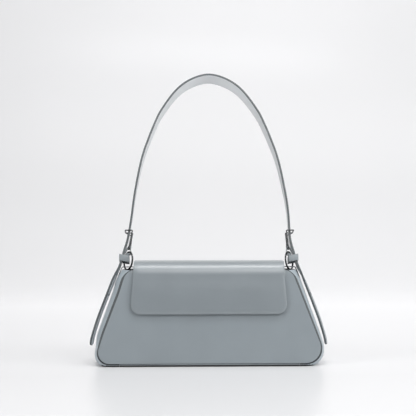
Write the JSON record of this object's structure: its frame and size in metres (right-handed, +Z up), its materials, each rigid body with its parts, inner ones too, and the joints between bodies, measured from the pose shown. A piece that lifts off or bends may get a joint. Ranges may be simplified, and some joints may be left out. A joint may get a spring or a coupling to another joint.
{
  "type": "shoulder bag",
  "caption": "Small trapezoid leather shoulder bag with a front flap, side gussets and an arched strap buckled to round rings, its strap ends hanging free.",
  "frame": {"origin": "centre of the flat underside of the base, on the surface that the bag stands on", "axes": "+X to the bag's right as seen from the front, +Y from front to back, +Z up; the front looks towards -Y"},
  "size_m": [0.2778, 0.1179, 0.349],
  "materials": {
    "leather_grey": "smooth fine-grained leather, satin",
    "stiffener_board": "bonded fibre board, matte",
    "lining_cloth": "fine twill cloth, matte",
    "gunmetal": "dark polished nickel",
    "magnet_steel": "plated disc"
  },
  "bodies": {
    "bag": {"front_panel": "leather_grey", "back_panel": "leather_grey", "base_panel": "leather_grey", "gusset_left": "leather_grey", "gusset_right": "leather_grey", "ring_tab_left": "leather_grey", "ring_tab_right": "leather_grey", "front_board": "stiffener_board", "back_board": "stiffener_board", "base_board": "stiffener_board", "body_lining": "lining_cloth", "slip_pocket": "lining_cloth", "panel_magnet": "magnet_steel"},
    "flap": {"flap_outer": "leather_grey", "flap_board": "stiffener_board", "flap_lining": "lining_cloth", "flap_magnet": "magnet_steel"},
    "strap": {"shoulder_strap": "leather_grey", "chape_left": "leather_grey", "chape_right": "leather_grey", "keeper_left": "leather_grey", "keeper_right": "leather_grey"},
    "ring_l": {"ring_left": "gunmetal"},
    "ring_r": {"ring_right": "gunmetal"},
    "buckle_l": {"buckle_frame_left": "gunmetal"},
    "buckle_r": {"buckle_frame_right": "gunmetal"},
    "prong_l": {"buckle_prong_left": "gunmetal"},
    "prong_r": {"buckle_prong_right": "gunmetal"}
  },
  "joints": [
    {"name": "flap_hinge", "type": "hinge", "parent": "bag", "child": "flap", "pos_m": [0, 0.0205, 0.11115], "axis": [-1, 0, 0], "range_deg": [0, 165]},
    {"name": "strap_swing", "type": "hinge", "parent": "bag", "child": "strap", "pos_m": [0, 0, 0.1205], "axis": [1, 0, 0], "range_deg": [-70, 106]},
    {"name": "ring_spin_left", "type": "hinge", "parent": "strap", "child": "ring_l", "pos_m": [-0.095, 0, 0.1205], "axis": [-0.866, -0.4755, 0.1545], "continuous": true},
    {"name": "ring_spin_right", "type": "hinge", "parent": "strap", "child": "ring_r", "pos_m": [0.095, 0, 0.1205], "axis": [0.866, -0.4755, 0.1545], "continuous": true},
    {"name": "buckle_turn_left", "type": "hinge", "parent": "strap", "child": "buckle_l", "pos_m": [-0.0941, 0.00479, 0.13524], "axis": [0, 0.9511, -0.309], "range_deg": [-3, 3]},
    {"name": "buckle_turn_right", "type": "hinge", "parent": "strap", "child": "buckle_r", "pos_m": [0.0941, 0.00479, 0.13524], "axis": [0, 0.9511, -0.309], "range_deg": [-3, 3]},
    {"name": "prong_turn_left", "type": "hinge", "parent": "strap", "child": "prong_l", "pos_m": [-0.0941, 0.00479, 0.13524], "axis": [0, 0.9511, -0.309], "range_deg": [-2, 2]},
    {"name": "prong_turn_right", "type": "hinge", "parent": "strap", "child": "prong_r", "pos_m": [0.0941, 0.00479, 0.13524], "axis": [0, 0.9511, -0.309], "range_deg": [-2, 2]}
  ]
}
